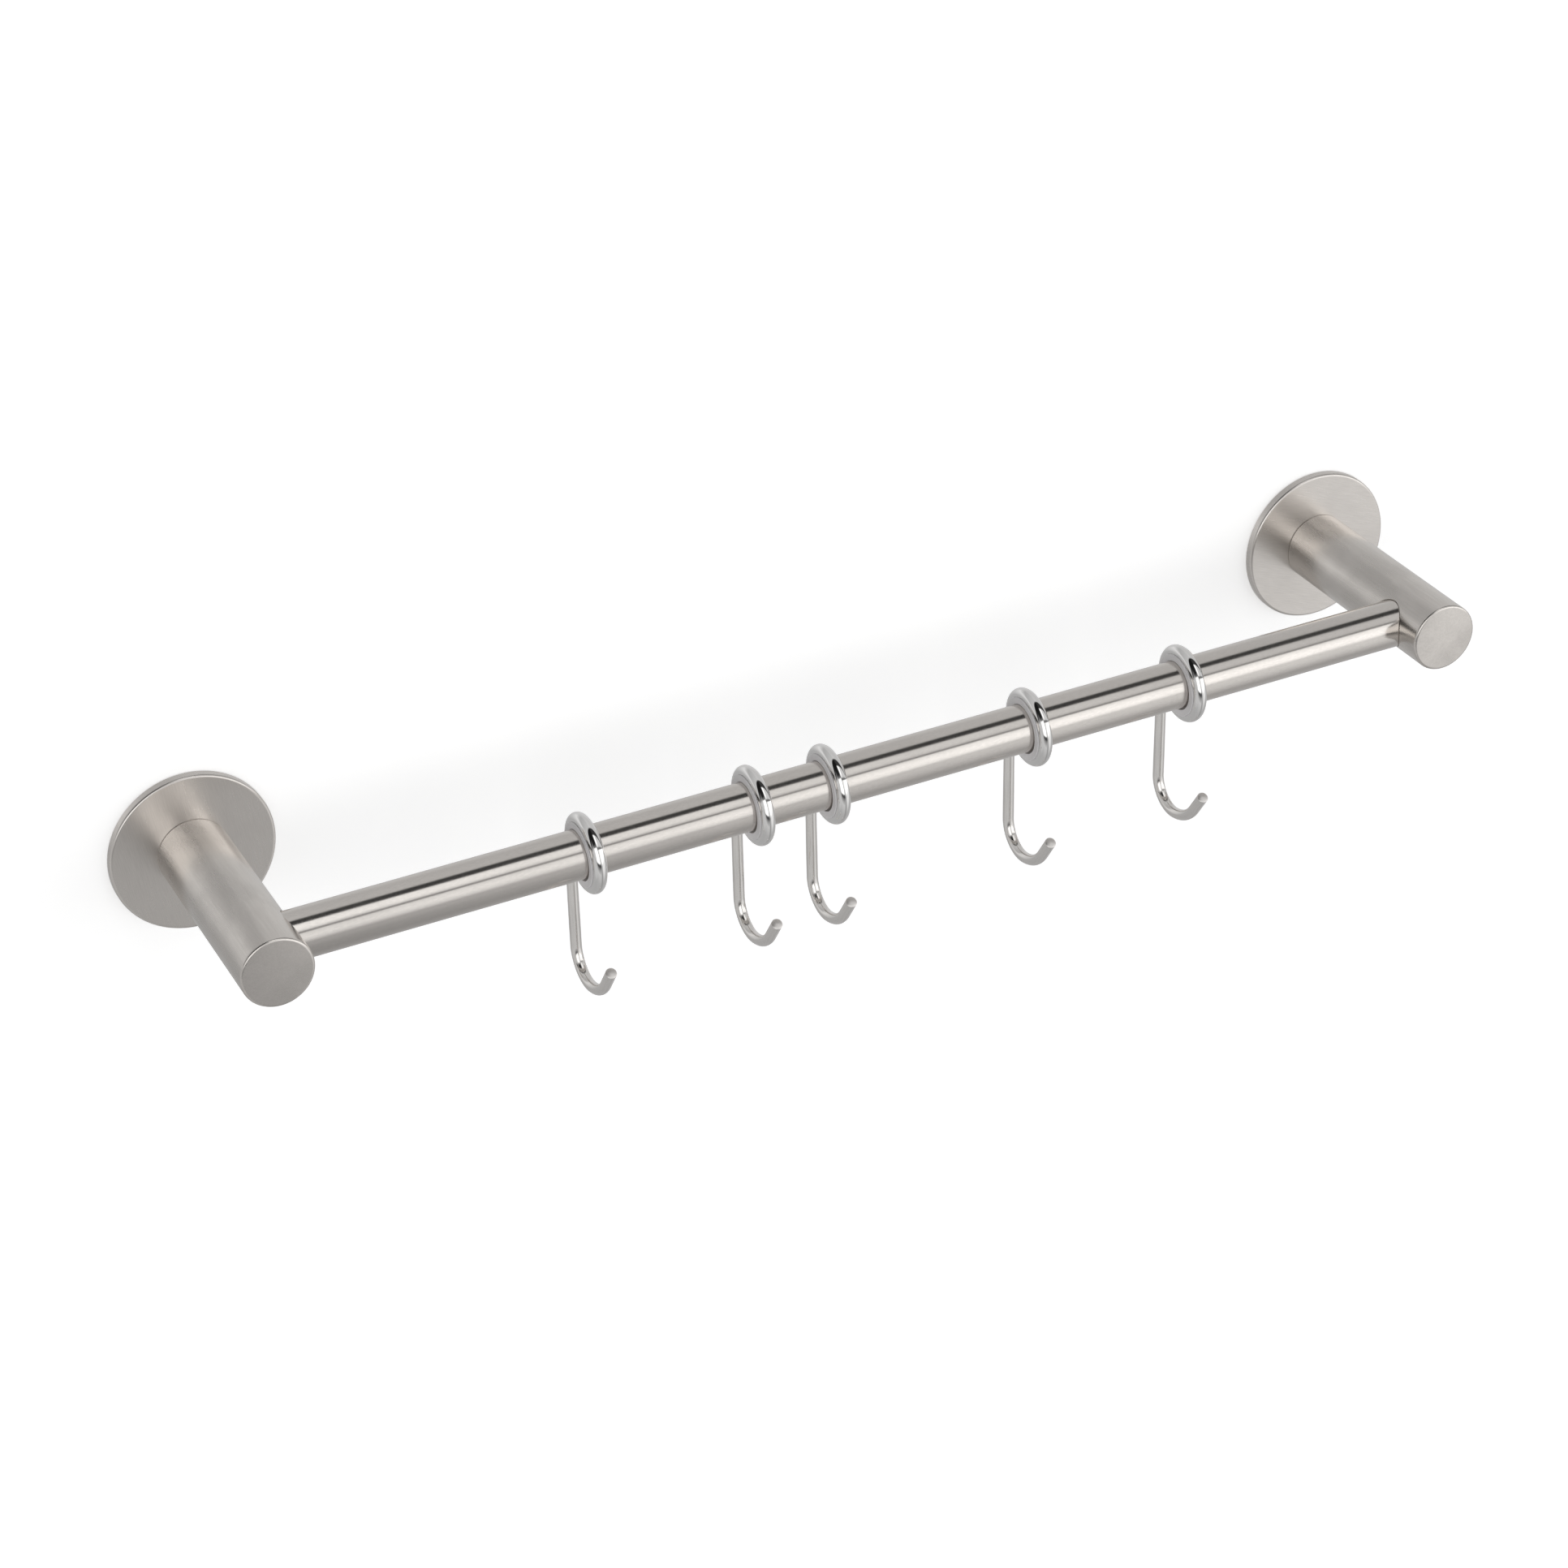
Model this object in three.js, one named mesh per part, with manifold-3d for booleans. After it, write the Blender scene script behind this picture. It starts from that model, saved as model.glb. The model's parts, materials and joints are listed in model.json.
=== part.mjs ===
// Wall hook rack: a round rail held off the wall by two posts, with five hooks that slide along it
// and turn round it on plastic-lined rings.
// Millimetres. +X runs along the rail, +Y points into the wall and +Z is up. The origin lies on the
// wall plane, midway between the two post axes.
import * as THREE from "three";
import { mergeVertices } from "three/addons/utils/BufferGeometryUtils.js";
import Module from "manifold-3d";

const wasm = await Module();
wasm.setup();

// Driving dimensions
const POST_SPACING = 412; // axis to axis
const POST_RADIUS = 11.75;
const POST_FRONT = 81.5; // wall to the post's end face
const FLANGE_RADIUS = 27;
const FLANGE_THICKNESS = 3.2;
const RAIL_RADIUS = 8;
const RAIL_WALL = 1.2;
const RAIL_OFFSET = 63.8; // wall to the rail's axis
const WIRE_RADIUS = 1.85; // hook wire
const RING_TUBE_RADIUS = 2.25;
const RING_RADIUS = 10.95; // ring centre to the middle of the ring's tube
const RING_DROP = 0.3; // the loose liner hangs on the rail, so the ring's centre lies below the rail's axis
const HOOK_PLACES = [-99.2, -41.8, -15.4, 57.3, 115]; // along X, uneven as the hooks were left
const HOOK_LEAN_DEG = 2.4; // the hook hangs turned this far towards the wall
const GAP = 0.3; // between pieces that touch in the real object
const RUNNING_GAP = 0.1; // between pieces that turn or slide on each other

// Post, flange and wall plate
const FLANGE_EDGE = 0.8; // radius of the rounded front edge
const FLANGE_SKIN = 1; // wall left in front of the recess
const FLANGE_RIM = 1.6; // wall left round the recess
const POST_CHAMFER = 0.7;
const POST_BACK = FLANGE_THICKNESS + GAP;
const PLATE_THICKNESS = FLANGE_THICKNESS - FLANGE_SKIN - GAP;
const PLATE_RADIUS = FLANGE_RADIUS - FLANGE_RIM - 0.5;
const SPIGOT_RADIUS = 6.5;
const SPIGOT_END = 21; // wall to the spigot's tip
const SPIGOT_CHAMFER = 0.6;
const GROOVE_CENTRE = 11.3; // wall to the groove that the grub screw bites into
const GROOVE_DEPTH = 1;
const GROOVE_FLOOR = 0.9; // half the width of the groove's flat bottom
const GROOVE_MOUTH = 2.5; // half the width of the groove at the spigot's surface
const RAIL_REACH = 6; // how far the rail runs past the post's axis
const RAIL_BORE_FLOOR = 0.5; // space left past the rail's end

// Screws
const POST_GRUB = { radius: 2.5, head: 11.2, tip: 5.9, cone: 1.1, key: 1.25, keyDepth: 2.2 };
const RAIL_GRUB = { radius: 2, head: 11.3, tip: 8.3, cone: 0.4, key: 1, keyDepth: 1.5 };
const SCREW_RADIUS = 2;
const SCREW_LENGTH = 30;
const SCREW_POINT = 4;
const SCREW_HEAD_RADIUS = 3.7;
const SCREW_PITCH_RADIUS = 15; // post axis to each wall screw
const SCREW_CLEARANCE = 0.35;
const CROSS_SLOT = { width: 0.9, length: 4, depth: 1.1 };

// Liner: a grommet whose outer groove holds the ring
const LINER_HALF_WIDTH = 2.65;
const LINER_BORE = RAIL_RADIUS + RUNNING_GAP + RING_DROP;
const LINER_LIP_RADIUS = 10.6;
const LINER_GROOVE_RADIUS = RING_TUBE_RADIUS + RUNNING_GAP;

// Hook wire, measured from the ring's centre before the hook is leaned
const SHANK_OFFSET = 13; // towards the wall
const SHANK_TOP = -1; // hidden behind the ring
const SHANK_BOTTOM = -42.6;
const BEND_RADIUS = 9.3;
const BEND_DEG = 101.5;
const SWEEP_RADIUS = 19.2; // the wider bend that follows
const SWEEP_DEG = 45;
const TIP_LENGTH = 9.5;

// Facets
const POST_SIDES = 36;
const RAIL_SIDES = 32;
const RING_SIDES = 32;
const RING_TUBE_SIDES = 12;
const WIRE_SIDES = 10;
const WIRE_STEPS = 26;
const SCREW_SIDES = 12;
const HEX = 6;

const STEEL = { color: 0xb4b2ad, roughness: 0.38, metalness: 1 };
const CHROME = { color: 0xd9d9d8, roughness: 0.08, metalness: 1 };
const ZINC = { color: 0xa9abaa, roughness: 0.45, metalness: 1 };
const BLACK_STEEL = { color: 0x3b3b3c, roughness: 0.5, metalness: 1 };
const PALE_PLASTIC = { color: 0xc4c2c4, roughness: 0.6, metalness: 0 };

const point = (x, y) => new THREE.Vector2(x, y);
const radians = THREE.MathUtils.degToRad;

// Turns a shape made along Y to lie along another axis.
function along(axis, geometry) {
  if (axis === "x") geometry.rotateZ(-Math.PI / 2);
  if (axis === "z") geometry.rotateX(Math.PI / 2);
  return geometry;
}

// Points on an arc, from one angle to another in degrees, both ends included.
function arcPoints(centre, radius, fromDeg, toDeg, steps) {
  return Array.from({ length: steps + 1 }, (_, i) => {
    const angle = radians(fromDeg + ((toDeg - fromDeg) * i) / steps);
    return point(centre.x + radius * Math.cos(angle), centre.y + radius * Math.sin(angle));
  });
}

// A solid of revolution. The profile lists (radius, place along the axis) round a closed outline.
function revolve(profile, sides, axis) {
  const closed = profile[0].x === 0 ? profile : [...profile, profile[0]];
  const outline = THREE.ShapeUtils.area(profile) > 0 ? closed : closed.reverse();
  return along(axis, new THREE.LatheGeometry(outline, sides));
}

function cylinder(radius, length, sides, axis) {
  return along(axis, new THREE.CylinderGeometry(radius, radius, length, sides));
}

// A BufferGeometry as a manifold-3d solid.
function solid(geometry) {
  const bare = geometry.clone();
  bare.deleteAttribute("normal");
  bare.deleteAttribute("uv");
  const merged = mergeVertices(bare);
  return new wasm.Manifold(
    new wasm.Mesh({
      numProp: 3,
      vertProperties: merged.attributes.position.array,
      triVerts: new Uint32Array(merged.index.array),
    }),
  );
}

// The body with every tool cut out of it.
function cut(body, tools) {
  const left = tools.reduce((rest, tool) => rest.subtract(solid(tool)), solid(body));
  const mesh = left.getMesh();
  const geometry = new THREE.BufferGeometry();
  geometry.setAttribute("position", new THREE.BufferAttribute(mesh.vertProperties, 3));
  geometry.setIndex(new THREE.BufferAttribute(mesh.triVerts, 1));
  geometry.computeVertexNormals();
  return geometry;
}

function piece(name, geometry, look) {
  const mesh = new THREE.Mesh(geometry, new THREE.MeshStandardMaterial(look));
  mesh.name = name;
  return mesh;
}

// The rounded cover disc, hollow behind, with a hole for the spigot.
function flangeGeometry() {
  const inner = FLANGE_RADIUS - FLANGE_RIM;
  const recess = -(FLANGE_THICKNESS - FLANGE_SKIN);
  const edge = point(FLANGE_RADIUS - FLANGE_EDGE, FLANGE_EDGE - FLANGE_THICKNESS);
  return revolve(
    [
      point(inner, 0),
      point(FLANGE_RADIUS, 0),
      ...arcPoints(edge, FLANGE_EDGE, 0, -90, 3),
      point(SPIGOT_RADIUS + 0.5, -FLANGE_THICKNESS),
      point(SPIGOT_RADIUS + 0.5, recess),
      point(inner, recess),
    ],
    POST_SIDES,
    "y",
  );
}

// The disc screwed to the wall, with the spigot that carries the post.
function wallPlateGeometry() {
  const disc = revolve(
    [
      point(0, 0),
      point(PLATE_RADIUS, 0),
      point(PLATE_RADIUS, -PLATE_THICKNESS),
      point(SPIGOT_RADIUS, -PLATE_THICKNESS),
      point(SPIGOT_RADIUS, GROOVE_MOUTH - GROOVE_CENTRE),
      point(SPIGOT_RADIUS - GROOVE_DEPTH, GROOVE_FLOOR - GROOVE_CENTRE),
      point(SPIGOT_RADIUS - GROOVE_DEPTH, -GROOVE_FLOOR - GROOVE_CENTRE),
      point(SPIGOT_RADIUS, -GROOVE_MOUTH - GROOVE_CENTRE),
      point(SPIGOT_RADIUS, SPIGOT_CHAMFER - SPIGOT_END),
      point(SPIGOT_RADIUS - SPIGOT_CHAMFER, -SPIGOT_END),
      point(0, -SPIGOT_END),
    ],
    POST_SIDES,
    "y",
  );
  const beyond = 1;
  const narrow = SCREW_RADIUS + SCREW_CLEARANCE;
  const countersink = revolve(
    [
      point(0, beyond),
      point(narrow, beyond),
      point(narrow, 0),
      point(narrow + PLATE_THICKNESS + beyond, -PLATE_THICKNESS - beyond),
      point(0, -PLATE_THICKNESS - beyond),
    ],
    SCREW_SIDES,
    "y",
  );
  const upper = countersink.clone().translate(0, 0, SCREW_PITCH_RADIUS);
  const lower = countersink.clone().translate(0, 0, -SCREW_PITCH_RADIUS);
  return cut(disc, [upper, lower]);
}

// A post with its spigot bore, its blind rail bore and its two screw holes. inward is the side that
// the rail comes from: 1 on the left post, -1 on the right one.
function postGeometry(inward) {
  const rod = revolve(
    [
      point(0, -POST_BACK),
      point(POST_RADIUS, -POST_BACK),
      point(POST_RADIUS, POST_CHAMFER - POST_FRONT),
      point(POST_RADIUS - POST_CHAMFER, -POST_FRONT),
      point(0, -POST_FRONT),
    ],
    POST_SIDES,
    "y",
  );
  const spigotBoreDepth = SPIGOT_END + 1;
  const spigotBore = cylinder(SPIGOT_RADIUS + GAP, spigotBoreDepth, POST_SIDES, "y");
  spigotBore.translate(0, -spigotBoreDepth / 2, 0);
  const railBoreLength = 2 * POST_RADIUS;
  const railBore = cylinder(RAIL_RADIUS + GAP, railBoreLength, RAIL_SIDES, "x");
  const railBoreEnd = RAIL_REACH + RAIL_BORE_FLOOR;
  railBore.translate(inward * (railBoreLength / 2 - railBoreEnd), -RAIL_OFFSET, 0);
  const screwHole = (grub, y) =>
    cylinder(grub.radius + GAP, POST_RADIUS, SCREW_SIDES, "z").translate(0, y, -POST_RADIUS);
  return cut(rod, [
    spigotBore,
    railBore,
    screwHole(POST_GRUB, -GROOVE_CENTRE),
    screwHole(RAIL_GRUB, -RAIL_OFFSET),
  ]);
}

// A headless screw pointing up, its hexagon socket at the bottom.
function grubScrewGeometry({ radius, head, tip, cone, key, keyDepth }) {
  const body = revolve(
    [
      point(0, -head),
      point(radius, -head),
      point(radius, -tip - cone),
      point(radius - cone, -tip),
      point(0, -tip),
    ],
    SCREW_SIDES,
    "z",
  );
  const socket = cylinder(key, 2 * keyDepth, HEX, "z").translate(0, 0, -head);
  return cut(body, [socket]);
}

// A countersunk wall screw pointing into the wall, its head flush with the wall plate.
function wallScrewGeometry() {
  const headTop = SCREW_RADIUS - SCREW_HEAD_RADIUS;
  const body = revolve(
    [
      point(0, headTop),
      point(SCREW_HEAD_RADIUS, headTop),
      point(SCREW_RADIUS, 0),
      point(SCREW_RADIUS, SCREW_LENGTH - SCREW_POINT),
      point(0, SCREW_LENGTH),
    ],
    SCREW_SIDES,
    "y",
  );
  const { width, length, depth } = CROSS_SLOT;
  const upright = new THREE.BoxGeometry(width, 2 * depth, length).translate(0, headTop, 0);
  const level = new THREE.BoxGeometry(length, 2 * depth, width).translate(0, headTop, 0);
  return cut(body, [upright, level]);
}

function railGeometry() {
  const end = POST_SPACING / 2 + RAIL_REACH;
  const bore = RAIL_RADIUS - RAIL_WALL;
  return revolve(
    [point(bore, -end), point(RAIL_RADIUS, -end), point(RAIL_RADIUS, end), point(bore, end)],
    RAIL_SIDES,
    "x",
  );
}

function ringGeometry() {
  return new THREE.TorusGeometry(RING_RADIUS, RING_TUBE_RADIUS, RING_TUBE_SIDES, RING_SIDES).rotateY(
    Math.PI / 2,
  );
}

function linerGeometry() {
  // The groove's arc is centred on the ring's tube and ends under the lips.
  const reach = Math.asin((RING_RADIUS - LINER_LIP_RADIUS) / LINER_GROOVE_RADIUS);
  const edgeDeg = THREE.MathUtils.radToDeg(reach);
  return revolve(
    [
      point(LINER_BORE, -LINER_HALF_WIDTH),
      point(LINER_LIP_RADIUS, -LINER_HALF_WIDTH),
      ...arcPoints(point(RING_RADIUS, 0), LINER_GROOVE_RADIUS, 270 - edgeDeg, 90 + edgeDeg, 6),
      point(LINER_LIP_RADIUS, LINER_HALF_WIDTH),
      point(LINER_BORE, LINER_HALF_WIDTH),
    ],
    RING_SIDES,
    "x",
  );
}

// The wire's centre line in the YZ plane through the hook, with the ring's centre at (0, 0).
class HookPath extends THREE.Curve {
  constructor() {
    super();
    this.shank = SHANK_TOP - SHANK_BOTTOM;
    this.bend = BEND_RADIUS * radians(BEND_DEG);
    this.sweep = SWEEP_RADIUS * radians(SWEEP_DEG);
    this.total = this.shank + this.bend + this.sweep + TIP_LENGTH;
  }

  // Where the wire is after a turn of `angle` on an arc that starts at `start` heading `heading`.
  static turn(start, heading, radius, angle) {
    return point(
      start.x - radius * (Math.cos(heading) - Math.cos(heading + angle)),
      start.y - radius * (Math.sin(heading + angle) - Math.sin(heading)),
    );
  }

  getPoint(t, target = new THREE.Vector3()) {
    const bendEnd = radians(BEND_DEG);
    const sweepEnd = bendEnd + radians(SWEEP_DEG);
    const afterShank = point(SHANK_OFFSET, SHANK_BOTTOM);
    const afterBend = HookPath.turn(afterShank, 0, BEND_RADIUS, bendEnd);
    const afterSweep = HookPath.turn(afterBend, bendEnd, SWEEP_RADIUS, radians(SWEEP_DEG));
    const run = t * this.total;
    const intoBend = run - this.shank;
    const intoSweep = intoBend - this.bend;
    const intoTip = intoSweep - this.sweep;
    let place = point(SHANK_OFFSET, SHANK_TOP - run);
    if (intoBend > 0) place = HookPath.turn(afterShank, 0, BEND_RADIUS, intoBend / BEND_RADIUS);
    if (intoSweep > 0) place = HookPath.turn(afterBend, bendEnd, SWEEP_RADIUS, intoSweep / SWEEP_RADIUS);
    if (intoTip > 0) {
      place = point(
        afterSweep.x - intoTip * Math.sin(sweepEnd),
        afterSweep.y - intoTip * Math.cos(sweepEnd),
      );
    }
    return target.set(0, place.x, place.y);
  }
}

// The hook wire, notched where it is welded to the back of the ring.
function wireGeometry() {
  const section = new THREE.Shape().absarc(0, 0, WIRE_RADIUS, 0, 2 * Math.PI);
  const wire = new THREE.ExtrudeGeometry(section, {
    extrudePath: new HookPath(),
    steps: WIRE_STEPS,
    curveSegments: WIRE_SIDES / 2, // a whole circle takes twice this many sides
  });
  const notch = new THREE.TorusGeometry(
    RING_RADIUS,
    RING_TUBE_RADIUS + GAP,
    RING_TUBE_SIDES,
    RING_SIDES,
  ).rotateY(Math.PI / 2);
  return cut(wire, [notch]).rotateX(radians(HOOK_LEAN_DEG));
}

function postAssembly(side, inward) {
  const group = new THREE.Group();
  group.add(
    piece(`${side}_flange`, flangeGeometry(), STEEL),
    piece(`${side}_post`, postGeometry(inward), STEEL),
    piece(`${side}_wall_plate`, wallPlateGeometry(), ZINC),
  );
  const postGrub = piece(`${side}_post_grub_screw`, grubScrewGeometry(POST_GRUB), BLACK_STEEL);
  postGrub.position.y = -GROOVE_CENTRE;
  const railGrub = piece(`${side}_rail_grub_screw`, grubScrewGeometry(RAIL_GRUB), BLACK_STEEL);
  railGrub.position.y = -RAIL_OFFSET;
  const upperScrew = piece(`${side}_upper_wall_screw`, wallScrewGeometry(), ZINC);
  upperScrew.position.z = SCREW_PITCH_RADIUS;
  const lowerScrew = piece(`${side}_lower_wall_screw`, wallScrewGeometry(), ZINC);
  lowerScrew.position.z = -SCREW_PITCH_RADIUS;
  group.add(postGrub, railGrub, upperScrew, lowerScrew);
  group.position.x = (-inward * POST_SPACING) / 2;
  return group;
}

function hookAssembly(number, place) {
  const group = new THREE.Group();
  group.add(
    piece(`hook_${number}_ring`, ringGeometry(), CHROME),
    piece(`hook_${number}_liner`, linerGeometry(), PALE_PLASTIC),
    piece(`hook_${number}_wire`, wireGeometry(), STEEL),
  );
  group.position.set(place, -RAIL_OFFSET, -RING_DROP);
  return group;
}

const rack = new THREE.Group();
const rail = piece("rail", railGeometry(), STEEL);
rail.position.y = -RAIL_OFFSET;
rack.add(rail, postAssembly("left", 1), postAssembly("right", -1));
HOOK_PLACES.forEach((place, i) => rack.add(hookAssembly(i + 1, place)));

export default rack;
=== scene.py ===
"""Looks of the wall hook rack. +X runs along the rail, +Y points into the wall and +Z is up, in metres.

The origin lies on the wall plane, midway between the two posts. Sizes below are in millimetres and
become metres where a mesh is made.
"""

import json
import math

import bmesh
import bpy
from mathutils import Matrix, Vector, noise

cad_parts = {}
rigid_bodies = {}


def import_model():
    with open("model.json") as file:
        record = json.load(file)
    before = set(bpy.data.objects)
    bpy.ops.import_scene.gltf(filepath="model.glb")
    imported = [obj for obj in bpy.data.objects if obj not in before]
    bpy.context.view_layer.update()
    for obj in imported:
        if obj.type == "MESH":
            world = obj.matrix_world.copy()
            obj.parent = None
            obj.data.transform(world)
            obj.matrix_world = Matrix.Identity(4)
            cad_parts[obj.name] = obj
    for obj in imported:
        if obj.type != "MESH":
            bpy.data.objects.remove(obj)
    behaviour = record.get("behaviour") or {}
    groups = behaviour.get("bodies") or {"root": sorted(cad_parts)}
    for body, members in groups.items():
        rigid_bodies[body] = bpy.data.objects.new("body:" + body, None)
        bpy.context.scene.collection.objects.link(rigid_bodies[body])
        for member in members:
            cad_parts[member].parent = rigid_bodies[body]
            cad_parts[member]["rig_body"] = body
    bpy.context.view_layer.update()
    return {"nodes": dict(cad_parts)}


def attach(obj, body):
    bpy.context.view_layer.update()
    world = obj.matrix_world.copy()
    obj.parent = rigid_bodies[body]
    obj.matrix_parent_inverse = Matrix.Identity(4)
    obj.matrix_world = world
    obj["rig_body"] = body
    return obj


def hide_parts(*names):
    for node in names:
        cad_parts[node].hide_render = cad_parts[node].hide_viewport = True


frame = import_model()

MM = 0.001

# Sizes shared with the CAD part
POST_SPACING = 412
POST_RADIUS = 11.75
POST_FRONT = 81.5
FLANGE_RADIUS = 27
FLANGE_THICKNESS = 3.2
FLANGE_SKIN = 1
FLANGE_RIM = 1.6
PLATE_THICKNESS = 1.9
PLATE_RADIUS = 24.9
SPIGOT_RADIUS = 6.5
SPIGOT_END = 21
SPIGOT_BORE_DEPTH = 22
GROOVE_CENTRE = 11.3
GROOVE_FLOOR = 0.9
GROOVE_MOUTH = 2.5
GROOVE_DEPTH = 1
RAIL_RADIUS = 8
RAIL_BORE = 6.8
RAIL_OFFSET = 63.8
RAIL_END = 212
RAIL_HOLE_FLOOR = 6.5  # from the post's axis to the blind end of the rail's hole
GAP = 0.3
RING_RADIUS = 10.95
RING_TUBE_RADIUS = 2.25
RING_DROP = 0.3
LINER_HALF_WIDTH = 2.65
LINER_LIP_RADIUS = 10.6
WIRE_RADIUS = 1.85
HOOK_PLACES = (-99.2, -41.8, -15.4, 57.3, 115)
HOOK_LEAN_DEG = 2.4
SHANK_OFFSET = 13
SHANK_TOP = -1
SHANK_BOTTOM = -42.6
BEND_RADIUS = 9.3
BEND_DEG = 101.5
SWEEP_RADIUS = 19.2
SWEEP_DEG = 45
TIP_LENGTH = 9.5
POST_GRUB = {"radius": 2.5, "head": 11.2, "tip": 5.9, "cone": 1.1, "key": 1.25, "key_depth": 2.2}
RAIL_GRUB = {"radius": 2, "head": 11.3, "tip": 8.3, "cone": 0.4, "key": 1, "key_depth": 1.5}
SCREW_RADIUS = 2
SCREW_LENGTH = 30
SCREW_POINT = 4
SCREW_HEAD_RADIUS = 3.7
SCREW_HEAD_TOP = -1.7
SCREW_PITCH_RADIUS = 15
SCREW_HOLE_RADIUS = 2.35
CROSS_SLOT = {"width": 0.9, "length": 4, "depth": 1.1}

# Sizes of the finer shapes
SIDES = 128
POST_SIDES = 192
TUBE_SIDES = 32
HOLE_SIDES = 64
SCREW_SIDES = 24
GRUB_SIDES = 48
WELD_SIDES = 12
CORNER_STEPS = 5
CROWN_STEPS = 5
GROOVE_STEPS = 16
SHANK_STEPS = 40
BEND_STEPS = 40
SWEEP_STEPS = 24
TIP_STEPS = 8
WELD_STEPS = 26
SUPPORT = 0.12  # distance of the extra loop that keeps a flat face flat up to its rounded corner
POST_BASE = 3.26
POST_EDGE = 0.85
POST_BASE_EDGE = 0.22
FLANGE_EDGE = 0.85
FLANGE_BACK_EDGE = 0.3
FLANGE_RIM_EDGE = 0.2
FLANGE_HOLE_RADIUS = SPIGOT_RADIUS + 0.5
FLANGE_HOLE_EDGE = 0.15
RECESS_FILLET = 0.4
PLATE_EDGE = 0.25
SPIGOT_FILLET = 0.3
SPIGOT_EDGE = 0.5
GROOVE_EDGE = 0.1
RAIL_EDGE = 0.3
RAIL_BORE_EDGE = 0.2
GRUB_HEAD_EDGE = 0.3
GRUB_TIP_EDGE = 0.1
KEY_POINT = 0.3  # depth of the point that the drill left at the bottom of a hexagon socket
HOLE_FLARE = 0.2  # chamfer round each hole in a post
RAIL_HOLE_RADIUS = 8.14
LINER_BORE = 8.36
LINER_GROOVE_RADIUS = 2.29
LINER_LIP_EDGE = 0.08
LINER_BORE_EDGE = 0.12
CUTTER_LIP = 1  # how far a cutter stands out of the face that it cuts
CUTTER_REACH = 5  # the same for a hole in the round side of a post
HEAD_EDGE = 0.15
NECK_END = 0.6  # where the cone under a wall screw's head has thinned to the neck
THREAD_START = 1
THREAD_END_GAP = 0.2  # between the thread's last ring and the screw's point
THREAD_PITCH = 1.4
THREAD_DEPTH = 0.5
THREAD_SHARE = 0.5  # of each turn that the ridge of the thread takes up
THREAD_STEPS = 10  # rings in each turn
BLUNT_RADIUS = 0.05  # smallest radius of a wall screw's point
SLIM_WIRE_RADIUS = 1.8  # upper shank, where the wire was drawn thinner
SLIM_WIRE_END = -28
SLIM_WIRE_FADE = 16  # length over which the wire reaches its full radius
WIRE_CROWN = 0.14  # how far the middle of the wire's end stands out
# Outline of the wire's end: how far each point stands out past the cut, and its radius
WIRE_END = ((0.14, 0.0), (0.11, 0.5), (0.02, 1.0), (-0.1, 1.45), (-0.2, 1.66), (-0.42, WIRE_RADIUS))
WIRE_LENGTH = (
    SHANK_TOP - SHANK_BOTTOM
    + BEND_RADIUS * math.radians(BEND_DEG)
    + SWEEP_RADIUS * math.radians(SWEEP_DEG)
    + TIP_LENGTH
)
WELD_RADIUS = 0.42
WELD_TOP = SHANK_TOP - 0.5
WELD_BOTTOM = -6.1
WELD_RIPPLE = 0.25  # how much the bead's radius strays, as a share
RIPPLE_STRETCH = 1.7  # how much faster the ripple runs along Z than along X and Y
RIPPLE_SHIFT = 9.0  # between one hook's ripple and the next's
WELD_START = 0.4  # fullness that the bead starts from
WELD_GROWTH = 0.3  # fullness that it gains with each step from its end
POST_CROWN = 0.22  # how far the middle of a post's end stands proud of its rim
GROUND_LENGTH = 0.75  # of the wire's tip
GROUND_BLEND = 0.1
GROUND_ROUGHNESS = 0.5

# Noise lies mostly in the first range, and only its peaks reach the second
NOISE_RANGE = (0.3, 0.7)
PEAK_RANGE = (0.68, 0.78)
SPECK_FINENESS = 2.2  # of the specks, against the grain

# The direction in which each flange was brushed, turned from upright, seen from the room
FLANGE_TURN_DEG = {"left": -8, "right": -68}

# Camera
CAMERA_PLACE = (-0.4686, -1.0163, 0.6237)
CAMERA_TURN_DEG = (59.395, 2.273, -26.029)
CAMERA_LENS_MM = 88.8

# Studio: brightness of the surroundings. Each row is an angle round the rail (0 is the room, 90 straight up,
# 180 the wall, -90 the floor), then the levels from far left to right as the rack is seen: beyond the
# window, its left pane, its dark bar, its right pane, and the lamp to the right. The levels were set
# until the bands that the rail and rings reflect looked as they do in the photograph.
SURROUNDINGS = (
    (-180, 0.64, 0.64, 0.62, 0.62, 0.64),
    (-160, 0.50, 0.44, 0.50, 0.56, 0.60),
    (-110, 0.56, 0.42, 0.44, 0.40, 0.46),
    (-75, 0.58, 0.44, 0.44, 0.34, 0.44),
    (-40, 0.58, 0.60, 0.48, 0.34, 0.80),
    (-24, 0.50, 0.30, 0.40, 0.42, 0.88),
    (-15, 0.46, 0.06, 0.05, 0.40, 0.84),
    (-9, 0.52, 0.12, 0.05, 0.56, 1.20),
    (-5, 0.58, 1.30, 0.24, 0.72, 1.40),
    (10, 0.60, 1.40, 0.26, 0.98, 1.46),
    (31, 0.60, 1.34, 0.26, 0.90, 1.16),
    (33, 0.58, 1.30, 0.10, 0.20, 0.18),
    (38, 0.54, 1.10, 0.12, 0.22, 0.20),
    (41, 0.48, 0.20, 0.50, 0.84, 0.60),
    (50, 0.20, 0.02, 0.66, 1.24, 0.66),
    (72, 0.03, 0.01, 0.66, 1.26, 0.64),
    (76, 0.02, 0.01, 0.02, 0.04, 0.04),
    (95, 0.02, 0.01, 0.02, 0.04, 0.04),
    (99, 0.60, 0.56, 0.58, 0.62, 0.56),
    (146, 0.50, 0.44, 0.46, 0.55, 0.57),
    (166, 0.74, 0.78, 0.66, 0.62, 0.64),
    (180, 0.64, 0.64, 0.62, 0.62, 0.64),
)
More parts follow.
